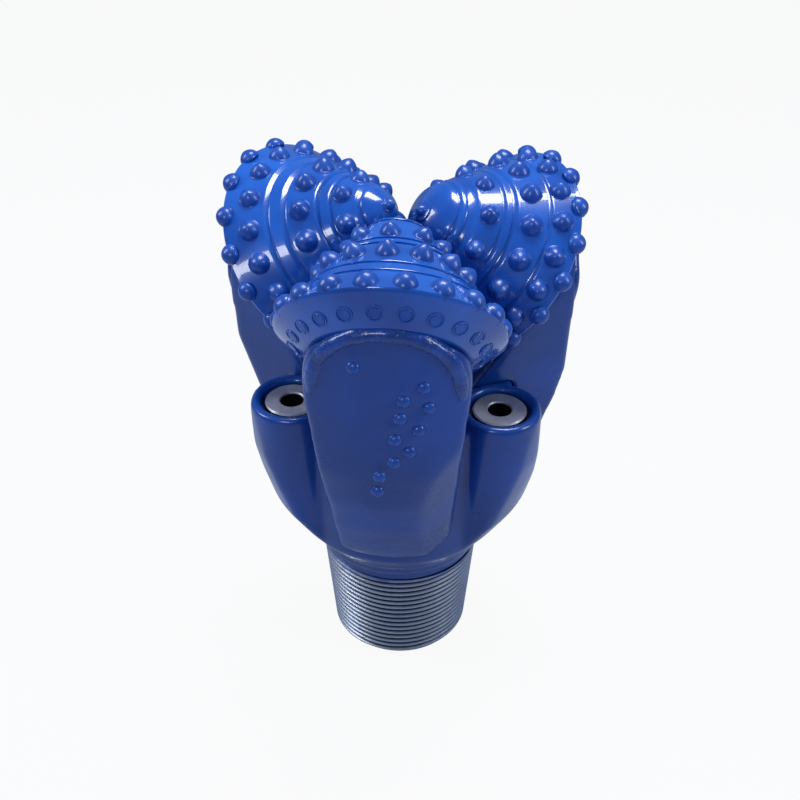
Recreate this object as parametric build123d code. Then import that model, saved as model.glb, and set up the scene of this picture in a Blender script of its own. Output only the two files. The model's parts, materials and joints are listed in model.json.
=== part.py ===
"""A 311 mm (12 1/4 in) tricone insert bit with open, air-cooled bearings, standing on its threaded pin.

Three legs are welded round a bored shank and carry one roller cone each. A cone turns on rollers and
locking balls round a journal that leans in and up from its leg. Millimetres, +Z up along the bit's
axis, origin in the middle of the pin's end face. A leg is drawn in its own plane, with +X outwards;
a place on a cone's axis is given as u, its distance from the point where the three axes meet.
"""
import os
from math import asin, atan2, cos, degrees, radians, sin, sqrt, tan

from build123d import *

# Bit and shank
LEG_AZIMUTHS = (-90, 30, 150)
PIN_LENGTH = 127.0
PIN_END_R = 65.52
PIN_BASE_R = 75.185
PIN_BASE_LENGTH = 12.7
BORE_R = 44.45
BORE_DEPTH = 196.0
SHOULDER_R = 83.0
CORE_R = 101.0
CORE_TOP = 296.0
BODY_PROFILE = ((78, 131), (92, 148), (104, 165), (122, 195), (131, 228), (137, 257), (140, 300))
FIT = 0.06            # radial play of a seated piece
SEAT = 0.3            # gap between pieces that turn on each other

# Nozzles and their bosses, midway between the legs
NOZZLE_CIRCLE_R = 103.6
NOZZLE_R = 23.3
NOZZLE_BASE_R = 25.5
NOZZLE_FOOT_Z = 264.0
NOZZLE_STEP_Z = 293.0
NOZZLE_FACE_Z = 302.0
ORIFICE_R = 10.2
ENTRY_R = 17.0
BOSS_R = 36.0
BOSS_RIM_Z = 305.5
RECESS_R = 27.0
PASSAGE_R = 13.0
SNAP_SECTION = 2.4
O_RING_R = 1.75

# Journal and cone line
JOURNAL_ANGLE = 36.0  # above the horizontal
APEX_Z = 470.0        # where the three journal axes meet
HEEL_U = 118.5
HEEL_RHO = 92.2
BACK_U = 139.5
BACK_RHO = 66.0
STEEL_SLOPE = 0.766   # rho over u of the cutting face
STEEL_START = 1.4
LEG_GAP = 1.0

# Bearing
JOURNAL_R = 42.7
COLLAR_R = 56.7
ROLLER_R = 7.0
ROLLER_SPAN = (102.3, 131.7)
ROLLER_COUNT = 20
MID_R = 38.4
MID_BORE_R = 38.9
SHOULDER_U = 102.0
BALL_R = 6.5
BALL_CIRCLE_R = 39.0
BALL_U = 88.0
BALL_COUNT = 17
THRUST_U = 78.0
DISC_THICKNESS = 3.0
NOSE_R = 17.0
NOSE_ROLLER_R = 3.5
NOSE_SPAN = (60.5, 74.0)
NOSE_ROLLER_COUNT = 17
TIP_U = 58.0
PLUG_R = 12.0
PLUG_DEPTH = 6.0

# Leg
LEG_FACE_R = 150.5
LEG_PROFILE = ((84, 150), (96, 158), (110, 180), (128, 222), (143, 262), (150.5, 296), (150.5, 448))
LEG_LEFT = ((-64, 0), (-63, -20), (-56, -60), (-50, -100), (-46, -190))
LEG_RIGHT = ((64, 0), (63, -20), (60, -60), (58, -100), (52, -190))
FLANK_POINTS = ((148, 43, 312), (106, 29, 180), (124, 70, 312))
LEG_FOOT_Z = 152.0
BEAD_R = 5.0
BEAD_HEIGHT = 3.4
BEAD_INSET = 9.0
STUD_R = 5.0
STUD_DEPTH = 9.0
STUD_DOME = 2.4
STUDS = ((-9.0, 412.5), (11.3, 396.9), (5.5, 385.1), (12.9, 377.7), (4.5, 368.4), (9.9, 356.7),
         (2.3, 350.2), (6.7, 336.7), (2.0, 324.5), (-2.4, 308.2))
LOADING_R = 7.2
LOADING_TURN = 195.0
LOADING_EXIT = (152.0, -14.0, 372.0)

# Insert kinds: radius, depth below the steel, height above it, share of the radius at the tip
HEEL_INSERT = (7.0, 13.0, 7.0, 0.62)
OUTER_INSERT = (7.5, 14.0, 9.5, 0.45)
ROW_INSERT = (8.5, 14.0, 10.5, 0.40)
INNER_INSERT = (7.8, 12.0, 10.0, 0.40)
NOSE_INSERT = (6.0, 11.0, 6.0, 0.45)
GAUGE_COMPACT = (5.6, 6.0, 0.4, 1.0)

# Each cone: rows as (name, u, count, kind), groove places, where the nose is cut off and its radius
CONES = (
    {"rows": (("inner", 62.0, 8, INNER_INSERT), ("middle", 85.0, 12, ROW_INSERT)),
     "grooves": (50.0, 73.5), "nose": (30.0, 9.5)},
    {"rows": (("inner", 54.0, 7, INNER_INSERT), ("middle", 79.0, 11, ROW_INSERT)),
     "grooves": (42.0, 66.5), "nose": (27.0, 9.5)},
    {"rows": (("inner", 43.0, 6, INNER_INSERT), ("middle", 72.0, 11, ROW_INSERT)),
     "grooves": (30.5, 57.5), "nose": (15.0, 7.5)},
)
OUTER_U = 104.0
RIM_COUNT = 16
HEEL_LEAN = -10.0
GROOVE_HALF = 3.4
GROOVE_DEPTH = 3.2
GAUGE_PLACE = 0.6


def on_axis(u, rho=0.0, turn=0.0):
    """A point u down a cone's axis and rho away from it, turned about the axis, in the leg's plane."""
    a, t = radians(JOURNAL_ANGLE), radians(turn)
    up, side = rho * cos(t), rho * sin(t)
    return Vector(u * cos(a) + up * sin(a), side, APEX_Z - u * sin(a) + up * cos(a))


def axis_place():
    """Location whose X runs down the cone's axis and whose Y points up away from it."""
    along = on_axis(1) - on_axis(0)
    away = on_axis(0, 1) - on_axis(0)
    return Plane(origin=on_axis(0), x_dir=along, z_dir=along.cross(away)).location


def turned(points):
    """Revolves a closed outline of (u, rho) points about the cone's axis."""
    return axis_place() * revolve(make_face(Polyline(*points, close=True)), Axis.X, 360)


def upright(points):
    """Revolves a closed outline of (r, z) points about the bit's axis."""
    return revolve(make_face(Plane.XZ * Polyline(*points, close=True)), Axis.Z, 360)


def rod(start, end, r):
    """A round bar between two points."""
    start, end = Vector(*start), Vector(*end)
    place = Plane(origin=start, z_dir=end - start).location
    length = (end - start).length
    return place * Pos(0, 0, length / 2) * Cylinder(r, length)


def around(shape, azimuth):
    return Rotation(0, 0, azimuth) * shape


def domed(points, r, top, rise):
    """Revolves an outline about Z that ends in a round cap of the given radius, top and rise."""
    ball = (r * r + rise * rise) / (2 * rise)
    half = asin(r / ball) / 2
    middle = (ball * sin(half), top - ball * (1 - cos(half)))
    side = Polyline(*points, (r, top - rise))
    cap = ThreePointArc((r, top - rise), middle, (0, top))
    face = make_face(Plane.XZ * (side + cap + Line((0, top), points[0])))
    return revolve(face, Axis.Z, 360)


def group(solids):
    """Separate solids kept together as one piece."""
    return Compound(children=[item for item in solids])


def steel_rho(u):
    return STEEL_SLOPE * u + STEEL_START


def surface_place(u, rho, lean, turn):
    """Location on the cone's surface with Z outwards, leaning from the radius towards the apex."""
    radial = on_axis(u, 1, turn) - on_axis(u, 0, turn)
    along = on_axis(1) - on_axis(0)
    out = radial * cos(radians(lean)) - along * sin(radians(lean))
    return Plane(origin=on_axis(u, rho, turn), x_dir=along.cross(radial), z_dir=out).location


def ball_path(r):
    """Ring swept by the balls, with a section of the given radius."""
    return axis_place() * revolve(Pos(BALL_U, BALL_CIRCLE_R) * Circle(r), Axis.X, 360)


# ---- inserts and cones


def insert_solid(kind):
    """A carbide insert on +Z: a straight grip below Z = 0 and a blunt cone with a round tip above."""
    r, below, above, share = kind
    grip = r - FIT
    if share == 1.0:
        return Pos(0, 0, (above - below) / 2) * Cylinder(grip, above + below)
    shoulder = 0.14 * above
    tip = r * share
    return domed([(0, -below), (grip, -below), (grip, shoulder)], tip, above, 0.62 * tip)


def ring_of(u, rho, lean, count, phase):
    return [surface_place(u, rho, lean, phase + k * 360 / count) for k in range(count)]


def cone_rows(spec, index):
    """Every row of one cone, name -> (places, kind)."""
    lean = degrees(atan2(STEEL_SLOPE, 1.0))
    back_lean = -degrees(atan2(HEEL_RHO - BACK_RHO, BACK_U - HEEL_U))
    step = 360 / RIM_COUNT
    phase = 7.0 * index
    rows = {}
    for name, u, count, kind in spec["rows"]:
        rows[name] = (ring_of(u, steel_rho(u), lean, count, phase), kind)
    rows["outer"] = (ring_of(OUTER_U, steel_rho(OUTER_U), lean, RIM_COUNT, phase), OUTER_INSERT)
    rows["heel"] = (ring_of(HEEL_U - 0.4, HEEL_RHO - 1.0, HEEL_LEAN, RIM_COUNT, phase + step / 2),
                    HEEL_INSERT)
    u = HEEL_U + GAUGE_PLACE * (BACK_U - HEEL_U)
    rho = HEEL_RHO + GAUGE_PLACE * (BACK_RHO - HEEL_RHO)
    rows["gauge"] = (ring_of(u, rho, back_lean, RIM_COUNT, phase), GAUGE_COMPACT)
    rows["nose"] = ([surface_place(spec["nose"][0], 0.0, 90.0, 0)], NOSE_INSERT)
    return rows


def cone_outline(spec):
    """Outside of a cone as (u, rho) from its nose to its back face."""
    nose_u, nose_r = spec["nose"]
    start = nose_u + 7.5
    outline = [(nose_u, 0), (nose_u, nose_r), (start, steel_rho(start))]
    for u in spec["grooves"]:
        for du, depth in ((-GROOVE_HALF, 0), (-0.5 * GROOVE_HALF, GROOVE_DEPTH),
                          (0.5 * GROOVE_HALF, GROOVE_DEPTH), (GROOVE_HALF, 0)):
            if u + du > start + 0.3:
                outline.append((u + du, steel_rho(u + du) - depth))
    outline += [(HEEL_U - 6.0, steel_rho(HEEL_U - 6.0)), (HEEL_U - 2.6, HEEL_RHO - 0.9),
                (HEEL_U, HEEL_RHO), (HEEL_U + 1.4, HEEL_RHO - 0.6), (BACK_U - 1.0, BACK_RHO + 0.6),
                (BACK_U, BACK_RHO - 0.6)]
    return outline


def cone_bore():
    """Bearing bores of a cone as (u, rho), from the back face in to the thrust plug's floor."""
    race = JOURNAL_R + 2 * (ROLLER_R + SEAT)
    nose_race = NOSE_R + 2 * (NOSE_ROLLER_R + SEAT)
    disc_u = THRUST_U - DISC_THICKNESS - 2 * SEAT
    floor = TIP_U - SEAT - PLUG_DEPTH
    return [(BACK_U, race), (SHOULDER_U - SEAT, race), (SHOULDER_U - SEAT, MID_BORE_R),
            (disc_u, MID_BORE_R), (disc_u, nose_race), (NOSE_SPAN[0] - SEAT, nose_race),
            (NOSE_SPAN[0] - SEAT, NOSE_R + 0.5), (TIP_U - SEAT, NOSE_R + 0.5), (TIP_U - SEAT, PLUG_R),
            (floor, PLUG_R), (floor, 0)]


def cone_shell(spec, rows):
    """One cone's steel: turned outside and bearing bores, with a drilled hole for every insert."""
    shell = turned(cone_outline(spec) + cone_bore())
    holes = [ball_path(BALL_R + SEAT)]
    for places, kind in rows.values():
        r, below, above, share = kind
        drill = Pos(0, 0, 12 - below) * Cylinder(r, 24)
        holes += [place * drill for place in places]
    return shell - holes


def cone_thrust_plug():
    far = TIP_U - SEAT
    return turned([(far - PLUG_DEPTH, 0), (far, 0), (far, PLUG_R - FIT), (far - PLUG_DEPTH, PLUG_R - FIT)])


def rollers(span, circle, r, count):
    """A ring of straight rollers lying along the cone's axis."""
    made = []
    for k in range(count):
        turn = k * 360 / count
        made.append(rod(on_axis(span[0], circle, turn), on_axis(span[1], circle, turn), r))
    return group(made)


def balls():
    made = []
    for k in range(BALL_COUNT):
        spot = on_axis(BALL_U, BALL_CIRCLE_R, LOADING_TURN + k * 360 / BALL_COUNT)
        made.append(Pos(*spot) * Sphere(BALL_R))
    return group(made)


# ---- legs


def journal():
    """Collar, roller race, ball and thrust land and nose pin, turned in one on the leg."""
    foot = BACK_U + LEG_GAP + 4
    solid = turned([(foot, 0), (foot, COLLAR_R), (ROLLER_SPAN[1] + SEAT, COLLAR_R),
                    (ROLLER_SPAN[1] + SEAT, JOURNAL_R), (SHOULDER_U, JOURNAL_R), (SHOULDER_U, MID_R),
                    (THRUST_U, MID_R), (THRUST_U, NOSE_R), (TIP_U, NOSE_R), (TIP_U, 0)])
    return solid - ball_path(BALL_R + SEAT)


def leg_block():
    """Forging behind the cone: its edge is parallel to the journal, round it above, waisted below."""
    outline = make_face(Polyline(*(LEG_LEFT + LEG_RIGHT[::-1]), close=True))
    place = Plane(origin=on_axis(BACK_U + LEG_GAP), x_dir=(0, 1, 0), z_dir=on_axis(1) - on_axis(0))
    depth = 260
    block = Pos(0, 0, depth / 2) * Cylinder(BACK_RHO, depth) + extrude(outline, depth, dir=(0, 0, 1))
    return place.location * block


def sector():
    """The third of the circle that one leg may fill."""
    far = 300
    side = far * tan(radians(60))
    return extrude(make_face(Polyline((0, 0), (far, -side), (far, side), close=True)), 600, dir=(0, 0, 1))


def flank_cut():
    """Half-space outside the sloping flank on one side of a leg."""
    a, b, c = (Vector(*p) for p in FLANK_POINTS)
    out = (b - a).cross(c - a).normalized()
    if out.X < 0:
        out = out * -1
    return Plane(origin=a, z_dir=out).location * Pos(0, 0, 200) * Box(900, 900, 400)


def leg_raw():
    """One leg with its journal, before the ball loading hole and the stud holes."""
    profile = [(0, LEG_FOOT_Z), (90, LEG_FOOT_Z)] + list(LEG_PROFILE[1:]) + [(0, LEG_PROFILE[-1][1])]
    leg = leg_block() & upright(profile)
    leg = (leg & sector()) - flank_cut()
    leg -= around(core_body(), -LEG_AZIMUTHS[0])
    return leg + journal()


def loading_rod(r):
    start = on_axis(BALL_U, BALL_CIRCLE_R, LOADING_TURN)
    end = Vector(*LOADING_EXIT)
    return rod(start, end + (end - start) * 0.1, r)


def stud_place(azimuth, z):
    a = radians(azimuth)
    out = Vector(cos(a), sin(a), 0)
    return Plane(origin=out * LEG_FACE_R + Vector(0, 0, z), z_dir=out).location


def stud_solid():
    """A domed wear stud on +Z with its shank below Z = 0."""
    grip = STUD_R - FIT
    return domed([(0, -STUD_DEPTH), (grip, -STUD_DEPTH)], grip, STUD_DOME, STUD_DOME)


def bead():
    """Hardfacing laid along the shirttail's rounded edge, on its outside."""
    a = radians(JOURNAL_ANGLE)
    reach = BACK_RHO - BEAD_INSET
    centre_r = LEG_FACE_R + BEAD_HEIGHT - BEAD_R
    spots = []
    for turn in range(-84, 85, 12):
        side = reach * sin(radians(turn))
        up = reach * cos(radians(turn))
        x = sqrt(centre_r ** 2 - side ** 2)
        u = (x - up * sin(a)) / cos(a)
        spots.append(on_axis(u, reach, turn))
    path = Spline(*spots)
    start = Plane(origin=path @ 0, z_dir=path % 0)
    tube = sweep(start.location * Circle(BEAD_R), path=path)
    ends = [Pos(*spots[0]) * Sphere(BEAD_R), Pos(*spots[-1]) * Sphere(BEAD_R)]
    weld = (tube + ends) - Pos(0, 0, 390) * Cylinder(LEG_FACE_R + 0.02, 220)
    front = Plane(origin=on_axis(BACK_U + LEG_GAP + SEAT), z_dir=on_axis(0) - on_axis(1))
    return weld - front.location * Pos(0, 0, 100) * Box(400, 400, 200)


def thrust_disc():
    near = THRUST_U - SEAT
    far = near - DISC_THICKNESS
    return turned([(near, NOSE_R + 1.0), (near, MID_R - 0.4), (far, MID_R - 0.4), (far, NOSE_R + 1.0)])


# ---- shank and nozzles


def nozzle_point(z):
    return Vector(NOZZLE_CIRCLE_R, 0, z)


def core_body():
    """Core and nozzle bosses, drawn in below, before they are bored."""
    height = CORE_TOP - PIN_LENGTH - 2
    body = Pos(0, 0, PIN_LENGTH + 2 + height / 2) * Cylinder(CORE_R, height)
    for azimuth in LEG_AZIMUTHS:
        boss = Pos(NOZZLE_CIRCLE_R, 0, (BOSS_RIM_Z + 130) / 2) * Cylinder(BOSS_R, BOSS_RIM_Z - 130)
        body += around(boss, azimuth + 60)
    return body & upright([(0, BODY_PROFILE[0][1])] + list(BODY_PROFILE) + [(140, 330), (0, 330)])


def shank():
    """Pin, bored core and the three nozzle bosses, with the passages that feed the nozzles."""
    relief_z = PIN_LENGTH - PIN_BASE_LENGTH
    pin = upright([(0, 0), (PIN_END_R - 3, 0), (PIN_END_R, 3.5), (PIN_END_R + (relief_z - 3.5) / 12, relief_z),
                   (PIN_BASE_R, relief_z), (PIN_BASE_R, PIN_LENGTH), (SHOULDER_R - 2, PIN_LENGTH),
                   (SHOULDER_R, PIN_LENGTH + 2), (SHOULDER_R, PIN_LENGTH + 7), (0, PIN_LENGTH + 7)])
    whole = pin + core_body()
    whole -= upright([(0, -1), (BORE_R, -1), (BORE_R, BORE_DEPTH - 12), (BORE_R - 16, BORE_DEPTH),
                      (0, BORE_DEPTH)])
    for azimuth in LEG_AZIMUTHS:
        whole -= [around(cut, azimuth + 60) for cut in nozzle_cuts()]
    return whole


def nozzle_cuts():
    """Feed passage, entry, bore, retaining ring's groove and recess of one nozzle."""
    ring_z = NOZZLE_STEP_Z + SNAP_SECTION / 2 + SEAT
    x = NOZZLE_CIRCLE_R
    return [rod((26, 0, BORE_DEPTH - 18), (x - 4, 0, NOZZLE_FOOT_Z - 12), PASSAGE_R),
            rod((x, 0, NOZZLE_FOOT_Z - 18), (x, 0, NOZZLE_FOOT_Z + 1), ENTRY_R),
            rod((x, 0, NOZZLE_FOOT_Z), (x, 0, NOZZLE_STEP_Z + 1), NOZZLE_BASE_R + FIT),
            rod((x, 0, NOZZLE_STEP_Z), (x, 0, BOSS_RIM_Z + 1), RECESS_R),
            rod((x, 0, ring_z - 1.6), (x, 0, ring_z + 1.6), RECESS_R + 1.8)]


def nozzle():
    """Steel-jacketed jet with a step for its retaining ring and a groove for its seal."""
    seal_z = NOZZLE_FOOT_Z + 11
    depth = 2 * O_RING_R + 0.1
    outline = [(ENTRY_R, NOZZLE_FOOT_Z), (NOZZLE_BASE_R, NOZZLE_FOOT_Z),
               (NOZZLE_BASE_R, seal_z - 2.4), (NOZZLE_BASE_R - depth, seal_z - 2.4),
               (NOZZLE_BASE_R - depth, seal_z + 2.4), (NOZZLE_BASE_R, seal_z + 2.4),
               (NOZZLE_BASE_R, NOZZLE_STEP_Z), (NOZZLE_R, NOZZLE_STEP_Z),
               (NOZZLE_R, NOZZLE_FACE_Z - 1.2), (NOZZLE_R - 1.2, NOZZLE_FACE_Z),
               (ORIFICE_R + 1.0, NOZZLE_FACE_Z), (ORIFICE_R, NOZZLE_FACE_Z - 1.0),
               (ORIFICE_R, NOZZLE_FOOT_Z + 20), (ENTRY_R, NOZZLE_FOOT_Z + 5)]
    return Pos(NOZZLE_CIRCLE_R, 0, 0) * upright(outline)


def o_ring():
    z = NOZZLE_FOOT_Z + 11
    return Pos(NOZZLE_CIRCLE_R, 0, z) * Torus(NOZZLE_BASE_R + FIT - O_RING_R - 0.01, O_RING_R)


def snap_ring():
    """Split spring ring in the boss's groove over the nozzle's step."""
    low = NOZZLE_STEP_Z + 0.15
    high = low + SNAP_SECTION
    inner = NOZZLE_R + 0.35
    outer = RECESS_R + 1.6
    ring = upright([(inner, low), (outer, low), (outer, high), (inner, high)])
    ring -= Pos(RECESS_R, 0, low) * Box(12, 9, 12)
    return Pos(NOZZLE_CIRCLE_R, 0, 0) * ring


def save(shape, name):
    export_step(shape, "parts/" + name + ".step")


def main():
    os.makedirs("parts", exist_ok=True)
    body = shank()
    save(body, "shank")
    raw = leg_raw()
    loading = loading_rod(LOADING_R)
    plug = raw & loading_rod(LOADING_R - FIT)
    stud_drill = Pos(0, 0, 10 - STUD_DEPTH) * Cylinder(STUD_R, 20)
    leg = raw - loading - [stud_place(*spot) * stud_drill for spot in STUDS]
    studs = group([stud_place(*spot) * stud_solid() for spot in STUDS])
    weld = bead()
    race_circle = JOURNAL_R + SEAT + ROLLER_R
    nose_circle = NOSE_R + SEAT + NOSE_ROLLER_R
    heel_set = rollers(ROLLER_SPAN, race_circle, ROLLER_R, ROLLER_COUNT)
    nose_set = rollers(NOSE_SPAN, nose_circle, NOSE_ROLLER_R, NOSE_ROLLER_COUNT)
    ball_set = balls()
    for index, azimuth in enumerate(LEG_AZIMUTHS):
        n = str(index + 1)
        save(around(leg, azimuth), "leg_" + n)
        save(around(plug, azimuth), "ball_plug_" + n)
        save(around(thrust_disc(), azimuth), "thrust_disc_" + n)
        save(around(studs, azimuth), "shirttail_studs_" + n)
        save(around(weld, azimuth), "hardfacing_" + n)
        save(around(heel_set, azimuth), "heel_rollers_" + n)
        save(around(nose_set, azimuth), "nose_rollers_" + n)
        save(around(ball_set, azimuth), "locking_balls_" + n)
        save(around(nozzle(), azimuth + 60), "nozzle_" + n)
        save(around(o_ring(), azimuth + 60), "nozzle_o_ring_" + n)
        save(around(snap_ring(), azimuth + 60), "nozzle_snap_ring_" + n)
        spec = CONES[index]
        rows = cone_rows(spec, index)
        save(around(cone_shell(spec, rows), azimuth), "cone_" + n)
        save(around(cone_thrust_plug(), azimuth), "cone_thrust_plug_" + n)
        for name, (places, kind) in rows.items():
            tooth = insert_solid(kind)
            made = [place * tooth for place in places]
            shape = made[0] if len(made) == 1 else group(made)
            save(around(shape, azimuth), "cone_" + n + "_" + name + "_inserts")


main()
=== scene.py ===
import json
import math

import bpy
from mathutils import Matrix, Vector


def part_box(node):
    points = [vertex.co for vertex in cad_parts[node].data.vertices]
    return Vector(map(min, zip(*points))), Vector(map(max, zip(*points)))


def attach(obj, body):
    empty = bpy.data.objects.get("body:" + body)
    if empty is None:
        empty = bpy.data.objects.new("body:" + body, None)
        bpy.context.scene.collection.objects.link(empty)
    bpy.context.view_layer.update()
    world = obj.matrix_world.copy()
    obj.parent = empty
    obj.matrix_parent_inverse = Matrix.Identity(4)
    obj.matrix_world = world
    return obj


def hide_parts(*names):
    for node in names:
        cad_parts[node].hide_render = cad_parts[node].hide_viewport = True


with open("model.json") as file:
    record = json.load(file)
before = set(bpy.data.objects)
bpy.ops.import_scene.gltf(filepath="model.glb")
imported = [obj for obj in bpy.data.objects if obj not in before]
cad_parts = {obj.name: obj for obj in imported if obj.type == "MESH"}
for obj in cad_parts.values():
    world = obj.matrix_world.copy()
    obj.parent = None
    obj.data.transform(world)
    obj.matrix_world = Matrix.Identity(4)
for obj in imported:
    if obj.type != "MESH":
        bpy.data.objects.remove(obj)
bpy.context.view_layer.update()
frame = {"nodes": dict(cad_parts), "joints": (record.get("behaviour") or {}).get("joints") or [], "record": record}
PIN_MOUNTS = {m["name"]: m for m in frame["record"]["mounts"]}


# ---- Enamel on the forged legs ---------------------------------------------------------------
# Three forged and carburised alloy steel legs, welded to the core along their edges. They are
# dipped and sprayed with a thick deep blue enamel that pools in corners and shows the forging
# scale underneath as a fine orange peel.

class Signal:
    """A number or colour inside a material; the usual operators add its Math nodes."""

    def __init__(self, finish, socket):
        self.finish = finish
        self.socket = socket

    def math(self, operation, other, swap=False):
        values = (other, self) if swap else (self, other)
        return self.finish.node("ShaderNodeMath", {"operation": operation}, dict(enumerate(values)))

    def __add__(self, other):
        return self.math("ADD", other)

    def __sub__(self, other):
        return self.math("SUBTRACT", other)

    def __mul__(self, other):
        return self.math("MULTIPLY", other)

    __radd__ = __add__
    __rmul__ = __mul__

    def __rsub__(self, other):
        return self.math("SUBTRACT", other, swap=True)

    def above(self, low, high):
        """0 below low, 1 above high and a smooth rise between."""
        return self.finish.node("ShaderNodeMapRange", {"interpolation_type": "SMOOTHSTEP"},
                                {"Value": self, "From Min": low, "From Max": high})


class Finish:
    """One surface finish: a material whose nodes are added one by one."""

    def __init__(self, name):
        self.material = bpy.data.materials.new(name)
        self.material.use_nodes = True
        self.tree = self.material.node_tree
        self.shader = self.tree.nodes["Principled BSDF"]
        place = self.tree.nodes.new("ShaderNodeTexCoord")
        self.place = Signal(self, place.outputs["Object"])

    def node(self, kind, settings, inputs, output=0):
        made = self.tree.nodes.new(kind)
        for key, value in settings.items():
            setattr(made, key, value)
        for key, value in inputs.items():
            self.feed(made.inputs[key], value)
        return Signal(self, made.outputs[output])

    def feed(self, socket, value):
        if isinstance(value, Signal):
            self.tree.links.new(value.socket, socket)
        elif isinstance(value, tuple) and len(value) == 3 and socket.type == "RGBA":
            socket.default_value = (*value, 1)
        else:
            socket.default_value = value

    def noise(self, scale, detail=3.0, rough=0.5):
        return self.node("ShaderNodeTexNoise", {},
                         {"Vector": self.place, "Scale": scale, "Detail": detail, "Roughness": rough})

    def height(self):
        """How high a point stands above the pin's end, in metres."""
        return self.node("ShaderNodeSeparateXYZ", {}, {0: self.place}, 2)

    def outward(self):
        """How far a point stands from the bit's own axis, in metres."""
        flat = self.node("ShaderNodeVectorMath", {"operation": "MULTIPLY"}, {0: self.place, 1: (1, 1, 0)})
        return self.node("ShaderNodeVectorMath", {"operation": "LENGTH"}, {0: flat}, 1)

    def blend(self, share, first, second):
        made = self.tree.nodes.new("ShaderNodeMix")
        made.data_type = "RGBA"
        self.feed(made.inputs[0], share)
        self.feed(made.inputs[6], first)
        self.feed(made.inputs[7], second)
        return Signal(self, made.outputs[2])

    def sharp_edge_highlight(self, low, high):
        """1 along sharp outer edges, where the inserts take a painted highlight."""
        rise = self.node("ShaderNodeNewGeometry", {}, {}, "Pointiness")
        return rise.above(low, high)

    def bump(self, height, strength, distance, under=None):
        inputs = {"Height": height, "Strength": strength, "Distance": distance}
        if under is not None:
            inputs["Normal"] = under
        return self.node("ShaderNodeBump", {}, inputs)

    def set(self, **values):
        for key, value in values.items():
            self.feed(self.shader.inputs[key.replace("_", " ")], value)


def wears(finish, *nodes):
    """Gives the frame's nodes their finish."""
    for node in nodes:
        for slot in frame["nodes"][node].material_slots:
            slot.material = finish.material


LEGS = ("1", "2", "3")
# The enamel where it is thick, where it lies evenly and where it is thin, as linear colours. The
# legs, core and welds take the first two, darker as painted shade, and the cones and inserts the
# last two, lighter as painted light
BLUE_DEEP = (0.0032, 0.034, 0.190)
BLUE = (0.0042, 0.050, 0.285)
BLUE_LIGHT = (0.0080, 0.090, 0.430)


def forged(name, nodes, cell, rounds, floor=None):
    """One rounded copy of frame nodes that are welded together, as they look under the enamel."""
    bpy.ops.object.select_all(action="DESELECT")
    for node in nodes:
        source = frame["nodes"][node]
        piece = source.copy()
        piece.data = source.data.copy()
        piece.parent = None
        piece.matrix_world = Matrix.Identity(4)
        bpy.context.collection.objects.link(piece)
        piece.select_set(True)
        bpy.context.view_layer.objects.active = piece
    if len(nodes) > 1:
        bpy.ops.object.join()
    piece.name = piece.data.name = name
    bpy.ops.object.mode_set(mode="EDIT")
    bpy.ops.mesh.select_all(action="SELECT")
    bpy.ops.mesh.remove_doubles(threshold=0.00001)
    if floor is not None:
        bpy.ops.mesh.bisect(plane_co=(0, 0, floor), plane_no=(0, 0, 1), clear_inner=True, use_fill=True)
    bpy.ops.object.mode_set(mode="OBJECT")
    skin = piece.modifiers.new("skin", "REMESH")
    skin.mode = "VOXEL"
    skin.voxel_size = cell
    bpy.ops.object.modifier_apply(modifier="skin")
    soft = piece.modifiers.new("soft", "SMOOTH")
    soft.factor = 0.5
    soft.iterations = rounds
    bpy.ops.object.modifier_apply(modifier="soft")
    bpy.ops.object.shade_smooth()
    piece.data.materials.clear()
    return piece


# Cell and smoothing rounds that bring a leg's edges to the forging's radius
LEG_CELL, LEG_ROUNDS = 0.0020, 45

enamel = Finish("leg_paint")
cloud = enamel.noise(9.0, 4.0, 0.55)
scale = enamel.noise(240.0, 3.0, 0.6)
lumps = enamel.noise(42.0, 2.0, 0.5)
# The legs take the darker blues, a painted shade against the cones
enamel.set(Base_Color=enamel.blend(cloud.above(0.35, 0.7), BLUE_DEEP, BLUE),
           Roughness=cloud.above(0.3, 0.75) * 0.10 + scale.above(0.45, 0.7) * 0.06 + 0.26,
           Normal=enamel.bump(scale, 0.10, 0.0003, enamel.bump(lumps, 0.35, 0.002)),
           Coat_Weight=0.35, Coat_Roughness=0.12, Specular_IOR_Level=0.35)
for n in LEGS:
    welded = [kind + n for kind in ("leg_", "ball_plug_", "shirttail_studs_")]
    leg = forged("leg_forging_" + n, welded, LEG_CELL, LEG_ROUNDS)
    leg.data.materials.append(enamel.material)
    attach(leg, "bit_body")
    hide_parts("leg_" + n, "ball_plug_" + n)


# ---- Hardfacing ------------------------------------------------------------------------------
# A bead of carbide in nickel alloy, laid by torch round the shirttail's edge. It is lumpier than
# the leg, and the enamel over it is thin on the crests.

APEX_TO_HINGE = 0.110


def journal_place(joint):
    """Matrix with Z down the journal from the point where the axes meet, and X up away from it."""
    axis = Vector(joint["axis"]).normalized()
    along = -axis
    meet = Vector(joint["pos_m"]) + axis * APEX_TO_HINGE
    away = (Vector((0, 0, 1)) - along * along.z).normalized()
    side = along.cross(away)
    place = Matrix((away, side, along)).transposed().to_4x4()
    place.translation = meet
    return place


SPINS = {j["name"][5]: journal_place(j) for j in frame["joints"] if j["name"].endswith("_spin")}

weld_paint = Finish("weld_paint")
ripple = weld_paint.noise(75.0, 3.0, 0.55)
grit = weld_paint.noise(300.0, 2.0, 0.6)
# The bead takes the legs' darker blues, a painted shade
weld_paint.set(Base_Color=weld_paint.blend(ripple.above(0.35, 0.65), BLUE_DEEP, BLUE),
               Roughness=grit.above(0.4, 0.7) * 0.15 + 0.26,
               Normal=weld_paint.bump(grit, 0.15, 0.0004, weld_paint.bump(ripple, 0.8, 0.004)),
               Coat_Weight=0.5, Coat_Roughness=0.10, Specular_IOR_Level=0.35)

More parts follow.
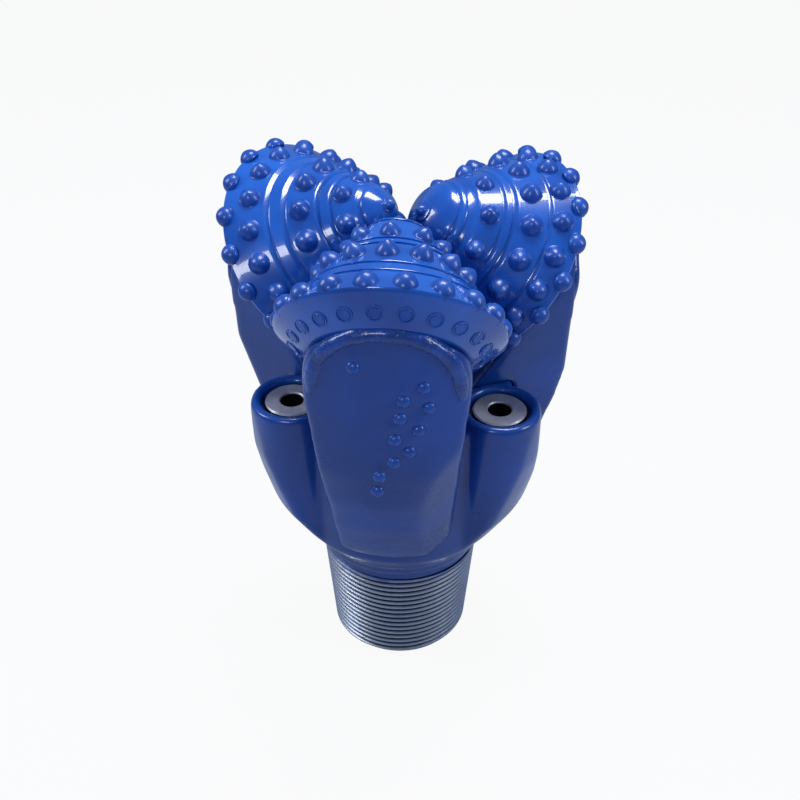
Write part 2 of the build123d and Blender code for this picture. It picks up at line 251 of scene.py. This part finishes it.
BEAD_R = 0.0070
BEAD_REACH = 0.0580
BEAD_CENTRE_R = 0.1471
BEAD_POINTS = 19
BEAD_SWELL, BEAD_RHYTHM, BEAD_END_NARROWING = 0.10, 2.4, 0.35
for n, spin in SPINS.items():
    along, away, side = spin.col[2].xyz, spin.col[0].xyz, spin.col[1].xyz
    run = bpy.data.curves.new("hardfacing_bead_" + n, "CURVE")
    run.dimensions = "3D"
    run.bevel_depth = BEAD_R
    run.bevel_resolution = 5
    run.use_fill_caps = True
    line = run.splines.new("NURBS")
    line.points.add(BEAD_POINTS - 1)
    for k, point in enumerate(line.points):
        a = math.pi * (k / (BEAD_POINTS - 1) - 0.5)
        across, up = BEAD_REACH * math.sin(a), BEAD_REACH * math.cos(a)
        out = math.sqrt(BEAD_CENTRE_R ** 2 - across ** 2)
        level = math.hypot(along.x, along.y)
        u = (out - up * math.hypot(away.x, away.y)) / level
        spot = spin.translation + along * u + away * up + side * across
        point.co = (*spot, 1)
        at_end = k in (0, BEAD_POINTS - 1)
        point.radius = 1 + BEAD_SWELL * math.sin(k * BEAD_RHYTHM) - BEAD_END_NARROWING * at_end
    line.order_u = 4
    line.use_endpoint_u = True
    bead = bpy.data.objects.new("hardfacing_bead_" + n, run)
    bpy.context.collection.objects.link(bead)
    bpy.ops.object.select_all(action="DESELECT")
    bead.select_set(True)
    bpy.context.view_layer.objects.active = bead
    bpy.ops.object.convert(target="MESH")
    bead = bpy.context.active_object
    bpy.ops.object.shade_smooth()
    bead.data.materials.clear()
    bead.data.materials.append(weld_paint.material)
    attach(bead, "bit_body")
    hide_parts("hardfacing_" + n)


# ---- Cones -----------------------------------------------------------------------------------
# Turned and carburised alloy steel cones, dipped in the same enamel. Lands carry the inserts and
# the grooves between them clear the neighbouring cones' rows. A cone is turned about its journal.

# Along the journal, u is the distance from the point where the three axes meet
HEEL_U, HEEL_R = 0.1185, 0.0922
BACK_U, BACK_R = 0.1395, 0.0660
RACE_R, NOSE_RACE_R = 0.0573, 0.0389
RACE_FLOOR_U, NOSE_FLOOR_U = 0.1017, 0.0744
WALL_SLOPE, WALL_START = 0.766, 0.0014
# A land is flat up to this far from a groove's rounded lip
CRISP = 0.0006
LIP_SHARE, LIP_DROP = 0.22, 0.25
NOSE_ROUNDING = 0.0075
STEPS_ROUND = 128


def wall(u):
    """Radius of a cone's cutting face at u from the point where the three axes meet."""
    return WALL_SLOPE * u + WALL_START


def turned(name, outline, steps):
    """Turns an outline of (radius, height) about Z."""
    bpy.ops.object.select_all(action="DESELECT")
    bpy.ops.mesh.primitive_plane_add(size=0.0001, location=(outline[0][0], 0, outline[0][1]))
    piece = bpy.context.active_object
    piece.name = piece.data.name = name
    bpy.ops.object.transform_apply(location=True)
    bpy.ops.object.mode_set(mode="EDIT")
    bpy.ops.mesh.select_all(action="SELECT")
    bpy.ops.mesh.merge(type="CENTER")
    for (r0, z0), (r1, z1) in zip(outline, outline[1:]):
        bpy.ops.mesh.extrude_region_move(TRANSFORM_OT_translate={"value": (r1 - r0, 0, z1 - z0)})
    bpy.ops.object.mode_set(mode="OBJECT")
    lathe = piece.modifiers.new("lathe", "SCREW")
    lathe.axis = "Z"
    lathe.steps = lathe.render_steps = steps
    lathe.use_merge_vertices = True
    lathe.merge_threshold = 0.00002
    bpy.ops.object.modifier_apply(modifier="lathe")
    bpy.ops.object.mode_set(mode="EDIT")
    bpy.ops.mesh.select_all(action="SELECT")
    bpy.ops.mesh.remove_doubles(threshold=0.00002)
    bpy.ops.mesh.normals_make_consistent(inside=False)
    bpy.ops.object.mode_set(mode="OBJECT")
    bpy.ops.object.shade_smooth_by_angle(angle=math.radians(38))
    return piece


# What differs from cone to cone: its nose as (u, radius) and its grooves as (start, end, depth)
NOSES = {"1": (0.0210, 0.0085), "2": (0.0250, 0.0090), "3": (0.0135, 0.0065)}
GROOVES = {"1": ((0.0300, 0.0325, 0.0014), (0.0550, 0.0575, 0.0018), (0.0615, 0.0640, 0.0018),
                 (0.0865, 0.0890, 0.0016), (0.0965, 0.0990, 0.0014)),
           "2": ((0.0375, 0.0400, 0.0018), (0.0440, 0.0505, 0.0030), (0.0665, 0.0690, 0.0018),
                 (0.0735, 0.0765, 0.0024), (0.0970, 0.0995, 0.0018)),
           "3": ((0.0255, 0.0285, 0.0018), (0.0445, 0.0470, 0.0024), (0.0530, 0.0560, 0.0030),
                 (0.0760, 0.0790, 0.0020), (0.0875, 0.0905, 0.0020))}

gloss = Finish("cone_paint")
flow = gloss.noise(14.0, 3.0, 0.5)
peel = gloss.noise(130.0, 2.0, 0.5)
# The cones take the lighter blues, a painted light against the legs
gloss.set(Base_Color=gloss.blend(flow.above(0.3, 0.72), BLUE, BLUE_LIGHT),
          Roughness=flow.above(0.35, 0.7) * 0.08 + 0.20,
          Normal=gloss.bump(peel, 0.10, 0.0004, gloss.bump(flow, 0.20, 0.002)),
          Coat_Weight=0.7, Coat_Roughness=0.05, Specular_IOR_Level=0.35)

for n in LEGS:
    nose_u, nose_r = NOSES[n]
    outline = [(0, nose_u), (nose_r - 0.002, nose_u), (nose_r - 0.0006, nose_u + 0.0006),
               (nose_r, nose_u + 0.002)]
    face_start = nose_u + NOSE_ROUNDING
    outline.append((wall(face_start), face_start))
    for low, high, depth in GROOVES[n]:
        soft = (high - low) * LIP_SHARE
        steps = ((low - soft - CRISP, 0), (low - soft, 0), (low, LIP_DROP), (low + soft, 1),
                 (high - soft, 1), (high, LIP_DROP), (high + soft, 0), (high + soft + CRISP, 0))
        outline += [(wall(u) - depth * share, u) for u, share in steps]
    outline += [(wall(HEEL_U - 0.0030), HEEL_U - 0.0030), (wall(HEEL_U - 0.0020), HEEL_U - 0.0020),
                (HEEL_R - 0.0002, HEEL_U - 0.0004), (HEEL_R - 0.0006, HEEL_U + 0.0008),
                (HEEL_R - 0.0032, HEEL_U + 0.0030),
                (BACK_R + 0.0010, BACK_U - 0.0012), (BACK_R - 0.0012, BACK_U), (RACE_R, BACK_U),
                (RACE_R, RACE_FLOOR_U), (NOSE_RACE_R, RACE_FLOOR_U), (NOSE_RACE_R, NOSE_FLOOR_U),
                (0, NOSE_FLOOR_U)]
    cone = turned("cone_shell_" + n, outline, STEPS_ROUND)
    cone.data.transform(SPINS[n])
    cone.data.materials.append(gloss.material)
    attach(cone, "cone_body_" + n)
    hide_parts("cone_" + n)


# ---- Inserts and studs -----------------------------------------------------------------------
# Sintered tungsten carbide, pressed into drilled holes: blunt round-nosed cones on the faces, low
# domes round the heels, flush discs in the backs. The same enamel covers them, painted lighter on
# the tips as a painted highlight.

capped = Finish("carbide_paint")
tint = capped.noise(60.0, 2.0, 0.5)
# The tips are painted a lighter blue as a painted highlight
tip_highlight = capped.sharp_edge_highlight(0.52, 0.60)
capped.set(Base_Color=capped.blend(tip_highlight * 0.4 + tint.above(0.4, 0.75) * 0.4, BLUE, BLUE_LIGHT),
           Roughness=tint.above(0.3, 0.7) * 0.08 + 0.34,
           Normal=capped.bump(capped.noise(200.0, 2.0), 0.15, 0.0005),
           Coat_Weight=0.35, Coat_Roughness=0.16, Specular_IOR_Level=0.35)
INSERT_STEPS, NOSE_STEPS = 20, 10
FOOT_ANGLE = 4


def insert_outline(r, height, bluntness):
    """Closed foot in the hole, a paint fillet round it, and a flank that rounds over to the nose."""
    points = [(0, -0.0034), (r - 0.0002, -0.0034), (r + 0.0007, -0.0014), (r + 0.0004, 0.0000)]
    for k in range(NOSE_STEPS):
        a = math.radians(FOOT_ANGLE + (90 - FOOT_ANGLE) * k / (NOSE_STEPS - 1))
        points.append((r * math.cos(a) ** bluntness, height * math.sin(a) ** bluntness))
    points[-1] = (0, height)
    return points


def disc_outline(r, height):
    """A flush disc in a shallow ring of paint."""
    return [(0, -0.0020), (r + 0.0009, -0.0020), (r + 0.0007, 0.0007), (r + 0.0001, 0.0006),
            (r - 0.0004, -0.0003), (r - 0.0009, -0.0003), (r - 0.0015, height), (0, height)]


def ring_of(name, places, outline, place, body, nodes):
    """One row: the insert is turned once and copied to its places."""
    model = turned(name, outline, INSERT_STEPS)
    copies = [model]
    for spot in places[1:]:
        extra = model.copy()
        extra.data = model.data.copy()
        bpy.context.collection.objects.link(extra)
        copies.append(extra)
    for copy, spot in zip(copies, places):
        copy.data.transform(place @ spot)
    bpy.ops.object.select_all(action="DESELECT")
    for copy in copies:
        copy.select_set(True)
    bpy.context.view_layer.objects.active = model
    if len(copies) > 1:
        bpy.ops.object.join()
    model.data.materials.append(capped.material)
    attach(model, body)
    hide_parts(*nodes)


def on_cone(u, r, lean, turn):
    """Place on a cone's surface with Z outwards, leaning from the radius towards the apex."""
    return (Matrix.Rotation(math.radians(turn), 4, "Z") @ Matrix.Translation((r, 0, u))
            @ Matrix.Rotation(math.radians(90 + lean), 4, "Y"))


FACE_LEAN = math.degrees(math.atan(WALL_SLOPE))
BACK_LEAN = -math.degrees(math.atan2(HEEL_R - BACK_R, BACK_U - HEEL_U))
# Kinds of insert as (foot radius, height, bluntness)
BIG, SMALL, OUTER = (0.0094, 0.0098, 1.30), (0.0082, 0.0082, 1.28), (0.0090, 0.0086, 1.26)
HEEL, EDGE = (0.0092, 0.0076, 1.12), (0.0084, 0.0068, 1.18)
NOSE, STUD = (0.0052, 0.0060, 1.2), (0.0057, 0.0041, 1.0)
# Rows on each cone's face as (node, u, inserts, turn of the first, kind)
FACE_ROWS = {"1": (("inner", 0.0480, 9, 4, SMALL), ("middle", 0.0745, 14, 2, BIG)),
             "2": (("inner", 0.0580, 9, 12, SMALL), ("middle", 0.0860, 14, 3, BIG),
                   ("outer", 0.1060, 17, 6, OUTER)),
             "3": (("inner", 0.0380, 7, 20, SMALL), ("middle", 0.0660, 12, 8, BIG),
                   ("outer", 0.1010, 17, 2, OUTER))}
# The heel rows as (u, radius, lean, inserts, turn of the first, kind); cone 1's is its outer row too
HEEL_ROWS = {"1": (0.1118, wall(0.1118), 18, 19, 9, HEEL),
             "2": (0.1181, 0.0912, -10, 17, 16.6, EDGE),
             "3": (0.1181, 0.0912, -10, 17, 12.6, EDGE)}
# The gauge row: discs, turn of the first, its share of the way from heel to back, (radius, height)
GAUGE_DISCS, GAUGE_START, GAUGE_SHARE, GAUGE_DISC = 21, 5, 0.62, (0.0058, 0.0005)
GAUGE_U = HEEL_U + GAUGE_SHARE * (BACK_U - HEEL_U)
GAUGE_R = HEEL_R + GAUGE_SHARE * (BACK_R - HEEL_R)
for n in LEGS:
    body = "cone_body_" + n
    rows = [(row, u, wall(u), FACE_LEAN, *rest) for row, u, *rest in FACE_ROWS[n]]
    rows.append(("heel", *HEEL_ROWS[n]))
    for row, u, r, lean, count, start, kind in rows:
        places = [on_cone(u, r, lean, start + k * 360 / count) for k in range(count)]
        nodes = ["cone_%s_%s_inserts" % (n, row)]
        if row == "heel" and n == "1":
            nodes.append("cone_1_outer_inserts")
        ring_of("cone_%s_%s_caps" % (n, row), places, insert_outline(*kind), SPINS[n], body, nodes)
    places = [on_cone(GAUGE_U, GAUGE_R, BACK_LEAN, GAUGE_START + k * 360 / GAUGE_DISCS)
              for k in range(GAUGE_DISCS)]
    ring_of("cone_%s_gauge_discs" % n, places, disc_outline(*GAUGE_DISC), SPINS[n], body,
            ["cone_%s_gauge_inserts" % n])
    nose = [Matrix.Translation((0, 0, NOSES[n][0])) @ Matrix.Rotation(math.pi, 4, "Y")]
    ring_of("cone_%s_nose_cap" % n, nose, insert_outline(*NOSE), SPINS[n], body,
            ["cone_%s_nose_inserts" % n])

# Radius of a leg's face, upright above one level and drawn in below it
FACE_R, FACE_LOW, FACE_SLOPE = 0.1499, 0.296, 0.22
# Studs in a leg's face as (turn from its middle, level)
STUDS = ((-9.0, 0.4040), (11.3, 0.3880), (5.5, 0.3762), (12.9, 0.3690), (4.5, 0.3596), (9.9, 0.3480),
         (3.0, 0.3390), (7.2, 0.3275), (2.6, 0.3170), (-1.7, 0.3020), (-2.6, 0.2850))
for n, around in zip(LEGS, (-90, 30, 150)):
    places = []
    for turn, level in STUDS:
        drawn_in = max(0, FACE_LOW - level) * FACE_SLOPE
        places.append(Matrix.Rotation(math.radians(around + turn), 4, "Z")
                      @ Matrix.Translation((FACE_R - drawn_in, 0, level))
                      @ Matrix.Rotation(math.pi / 2, 4, "Y"))
    ring_of("shirttail_domes_" + n, places, insert_outline(*STUD), Matrix.Identity(4), "bit_body",
            ["shirttail_studs_" + n])


# ---- Nozzles ---------------------------------------------------------------------------------
# Jets in ground steel jackets, held by dark spring rings and sealed by black rings. They are
# fitted after painting, so they stay bare, with a fine ground grain. Below the face the bore is
# painted near black as painted shade.

jet = Finish("nozzle_steel")
stain = jet.noise(55.0, 3.0, 0.6)
grain = jet.noise(420.0, 2.0, 0.7)
JET_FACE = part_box("nozzle_1")[1][2]
# 1 on the jet's face and 0 down the bore, whose colour is painted near black as painted shade
face_over_bore_shade = jet.height().above(JET_FACE - 0.0022, JET_FACE - 0.0010)
ground = jet.blend(stain.above(0.3, 0.75), (0.22, 0.23, 0.29), (0.34, 0.35, 0.42))
jet.set(Base_Color=jet.blend(face_over_bore_shade, (0.006, 0.006, 0.009), ground),
        Metallic=0.55, Roughness=grain.above(0.35, 0.7) * 0.14 + 0.34,
        Normal=jet.bump(grain, 0.25, 0.0003))
wears(jet, *["nozzle_" + n for n in LEGS])

ring_steel = Finish("spring_steel")
dark = ring_steel.noise(90.0, 3.0)
ring_steel.set(Base_Color=ring_steel.blend(dark, (0.010, 0.018, 0.055), (0.030, 0.040, 0.085)),
               Metallic=0.6, Roughness=dark * 0.2 + 0.35,
               Normal=ring_steel.bump(dark, 0.2, 0.0004))
wears(ring_steel, *["nozzle_snap_ring_" + n for n in LEGS])

seal = Finish("seal_rubber")
bloom = seal.noise(150.0, 3.0)
seal.set(Base_Color=seal.blend(bloom, (0.010, 0.010, 0.011), (0.025, 0.025, 0.027)),
         Roughness=bloom * 0.2 + 0.55, Normal=seal.bump(bloom, 0.2, 0.0003))
wears(seal, *["nozzle_o_ring_" + n for n in LEGS])


# ---- Bearings --------------------------------------------------------------------------------
# Ground rollers and locking balls, and bronze thrust pieces. They show only where a cone is taken
# off: polished steel with a film of grease, and warm bronze with turning marks.

race = Finish("roller_steel")
film = race.noise(80.0, 3.0)
race.set(Base_Color=race.blend(film, (0.52, 0.52, 0.53), (0.68, 0.68, 0.69)), Metallic=1.0,
         Roughness=film * 0.12 + 0.14, Normal=race.bump(film, 0.05, 0.0002))
wears(race, *[kind + n for n in LEGS for kind in ("heel_rollers_", "locking_balls_", "nose_rollers_")])

bronze = Finish("bearing_bronze")
turning = bronze.noise(160.0, 3.0)
bronze.set(Base_Color=bronze.blend(turning, (0.36, 0.22, 0.08), (0.52, 0.34, 0.14)), Metallic=1.0,
           Roughness=turning * 0.15 + 0.25, Normal=bronze.bump(turning, 0.15, 0.0002))
wears(bronze, *[kind + n for n in LEGS for kind in ("thrust_disc_", "cone_thrust_plug_")])


# ---- Shank -----------------------------------------------------------------------------------
# The bored core, its three nozzle bosses and the pin, one piece. Enamel covers it down to the
# pin's plain cylinder, with its blue carried into the first threads; below that the steel is bare.

PIN_BASE_TOP = PIN_MOUNTS["make_up_shoulder"]["pos_m"][2]
PAINT_END = PIN_BASE_TOP - 0.013

mantle = Finish("body_paint")
cloud = mantle.noise(9.0, 4.0, 0.55)
scale = mantle.noise(240.0, 3.0, 0.6)
lumps = mantle.noise(36.0, 3.0, 0.55)
steel_grain = mantle.noise(180.0, 3.0, 0.6)
drift = mantle.noise(30.0, 4.0, 0.6)
painted = (mantle.height() + drift * 0.010).above(PAINT_END - 0.004, PAINT_END + 0.008)
# The core takes the legs' darker blues, a painted shade
paint = mantle.blend(cloud.above(0.35, 0.7), BLUE_DEEP, BLUE)
bare = mantle.blend(steel_grain, (0.18, 0.22, 0.30), (0.44, 0.48, 0.55))
mantle.set(Base_Color=mantle.blend(painted, bare, paint), Metallic=1.0 - painted,
           Roughness=painted * -0.10 + steel_grain * 0.12 + 0.34,
           Normal=mantle.bump(scale, 0.10, 0.0003, mantle.bump(lumps, 0.35, 0.0020)),
           Coat_Weight=painted * 0.4, Coat_Roughness=0.10, Specular_IOR_Level=0.35)
# The core ends just below the thread's top
CORE_CELL, CORE_ROUNDS = 0.0021, 30
CORE_LOW = PIN_BASE_TOP - 0.0145
core = forged("bit_core", ["shank"], CORE_CELL, CORE_ROUNDS, CORE_LOW)
core.data.materials.append(mantle.material)
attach(core, "bit_body")
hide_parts("shank")


# ---- Thread ----------------------------------------------------------------------------------
# The tapered rotary-shouldered thread, four turns to the inch, cut on the pin and left bare. Its
# flanks are bright steel, painted near black towards the root as painted shade, and the top turns
# are blended towards the enamel's blue, darker towards the top.

PITCH = 0.00635
THREAD_HEIGHT = 0.0036
END_R = 0.0655
BORE_R = PIN_MOUNTS["pin_bore"]["dims"]["r_mm"] / 1000
TAPER = 1 / 12
THREAD_HIGH = PIN_BASE_TOP - 0.0140
LEAD_IN = 0.0050
TURNS, THREAD_STEPS = 17, 72
# The form that is wound: its side, how far it narrows to the crest and widens to the root
FORM = PITCH * 0.9
CREST_NARROWING, ROOT_WIDENING = 0.30, 1.05
ROOT_OVERLAP = 0.0008
END_CHAMFER = 0.0035

pin = turned("pin_core", [(BORE_R, 0), (END_R - 0.0075, 0), (END_R - 0.0050, 0.0022),
                          (END_R - THREAD_HEIGHT, 0.0034),
                          (END_R - THREAD_HEIGHT + THREAD_HIGH * TAPER, THREAD_HIGH),
                          (BORE_R, THREAD_HIGH), (BORE_R, 0)], STEPS_ROUND)

bpy.ops.object.select_all(action="DESELECT")
bpy.ops.mesh.primitive_plane_add(size=FORM, location=(END_R, 0, LEAD_IN), rotation=(math.pi / 2, 0, 0))
thread = bpy.context.active_object
thread.name = thread.data.name = "pin_thread"
bpy.ops.object.transform_apply(location=True, rotation=True, scale=True)
for v in thread.data.vertices:
    outside = v.co.x > END_R
    v.co.x = END_R if outside else END_R - THREAD_HEIGHT - ROOT_OVERLAP
    v.co.z = LEAD_IN + (v.co.z - LEAD_IN) * (CREST_NARROWING if outside else ROOT_WIDENING)
turns = thread.modifiers.new("turns", "SCREW")
turns.axis = "Z"
turns.screw_offset = PITCH
turns.iterations = TURNS
turns.steps = turns.render_steps = THREAD_STEPS
bpy.ops.object.modifier_apply(modifier="turns")
for v in thread.data.vertices:
    out = 1 + (v.co.z * TAPER) / math.hypot(v.co.x, v.co.y)
    v.co.x *= out
    v.co.y *= out
bpy.ops.object.mode_set(mode="EDIT")
bpy.ops.mesh.select_all(action="SELECT")
bpy.ops.mesh.bisect(plane_co=(0, 0, THREAD_HIGH), plane_no=(0, 0, 1), clear_outer=True, use_fill=True)
bpy.ops.mesh.select_all(action="SELECT")
bpy.ops.mesh.bisect(plane_co=(0, 0, END_CHAMFER), plane_no=(0, 0, 1), clear_inner=True, use_fill=True)
bpy.ops.mesh.select_all(action="SELECT")
bpy.ops.mesh.normals_make_consistent(inside=False)
bpy.ops.object.mode_set(mode="OBJECT")
bpy.ops.object.shade_smooth_by_angle(angle=math.radians(35))

bright = Finish("thread_steel")
grain = bright.noise(220.0, 3.0, 0.6)
blotch_noise = bright.noise(28.0, 4.0, 0.6)
# The top turns are blended towards the enamel's blue, darker towards the top
blued_top = (bright.height() + blotch_noise * 0.030).above(PAINT_END + 0.004, PAINT_END + 0.018)
# 1 on the crests and 0 in the root, where the colour is painted near black as painted shade
crest_over_root_shade = (bright.outward() - bright.height() * TAPER).above(END_R - 0.0022, END_R - 0.0003)
steel_with_root_shade = bright.blend(crest_over_root_shade * 0.85 + grain * 0.15, (0.010, 0.018, 0.036), (0.46, 0.51, 0.60))
blotched = bright.blend(blotch_noise.above(0.5, 0.8) * 0.35, steel_with_root_shade, (0.05, 0.09, 0.22))
bright.set(Base_Color=bright.blend(blued_top * 0.8, blotched, BLUE),
           Metallic=0.9 - blued_top * 0.8, Roughness=grain * 0.15 + 0.28,
           Normal=bright.bump(grain, 0.2, 0.0004))
for piece in (thread, pin):
    piece.data.materials.clear()
    piece.data.materials.append(bright.material)
    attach(piece, "bit_body")
    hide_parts("shank")


# ---- Floor, light and camera -----------------------------------------------------------------
# A white studio sweep under a large overhead softbox, two side panels and a weak front fill. The
# camera stands in front of the first leg and looks down on the cones.

bpy.ops.object.select_all(action="DESELECT")
bpy.ops.mesh.primitive_plane_add(size=14, location=(0, 0, 0))
floor = bpy.context.active_object
floor.name = "studio_floor"
pale = Finish("studio_floor")
wash = pale.noise(0.6, 2.0)
pale.set(Base_Color=pale.blend(wash, (0.42, 0.46, 0.52), (0.44, 0.48, 0.54)), Roughness=0.9,
         Specular_IOR_Level=0.1)
seen = pale.node("ShaderNodeLightPath", {}, {}, "Is Camera Ray")
glow = pale.node("ShaderNodeEmission", {}, {"Color": (1.0, 1.0, 1.0), "Strength": 1.0})
lifted = pale.node("ShaderNodeMixShader", {},
                   {0: seen * 0.93, 1: Signal(pale, pale.shader.outputs[0]), 2: glow})
pale.feed(pale.tree.nodes["Material Output"].inputs["Surface"], lifted)
floor.data.materials.append(pale.material)

world = bpy.data.worlds.new("studio")
bpy.context.scene.world = world
world.use_nodes = True
sky = world.node_tree
room = sky.nodes["Background"]
room.inputs["Color"].default_value = (0.42, 0.60, 1.0, 1)
room.inputs["Strength"].default_value = 0.40
white = sky.nodes.new("ShaderNodeBackground")
white.inputs["Color"].default_value = (1, 1, 1, 1)
path = sky.nodes.new("ShaderNodeLightPath")
either = sky.nodes.new("ShaderNodeMixShader")
sky.links.new(path.outputs["Is Camera Ray"], either.inputs[0])
sky.links.new(room.outputs[0], either.inputs[1])
sky.links.new(white.outputs[0], either.inputs[2])
sky.links.new(either.outputs[0], sky.nodes["World Output"].inputs["Surface"])


def softbox(name, place, target, size, power):
    """A rectangular area light aimed at a point."""
    data = bpy.data.lights.new(name, "AREA")
    data.shape = "RECTANGLE"
    data.size, data.size_y = size
    data.energy = power
    lamp = bpy.data.objects.new(name, data)
    bpy.context.collection.objects.link(lamp)
    lamp.location = place
    lamp.rotation_euler = (Vector(target) - Vector(place)).to_track_quat("-Z", "Y").to_euler()


softbox("overhead", (0.10, 0.30, 1.55), (0, 0, 0.42), (0.6, 0.45), 16)
softbox("left_panel", (-1.2, -0.1, 1.15), (0, 0, 0.40), (0.35, 0.7), 9)
softbox("right_panel", (1.2, -0.3, 0.95), (0, 0, 0.38), (0.3, 0.7), 7)
softbox("front_fill", (-0.5, -1.9, 1.3), (0, 0, 0.20), (0.5, 0.4), 9)

AIM = Vector((0, 0, 0.269))
ELEVATION, TURN, DISTANCE = math.radians(35.8), math.radians(4.5), 1.058
sight = Vector((math.sin(TURN) * math.cos(ELEVATION), -math.cos(TURN) * math.cos(ELEVATION),
                math.sin(ELEVATION)))
lens = bpy.data.cameras.new("camera")
lens.lens = 52.15
lens.sensor_width = 36
camera = bpy.data.objects.new("camera", lens)
bpy.context.collection.objects.link(camera)
camera.location = AIM + sight * DISTANCE
camera.rotation_euler = (-sight).to_track_quat("-Z", "Y").to_euler()
bpy.context.scene.camera = camera
bpy.context.scene.view_settings.view_transform = "Standard"
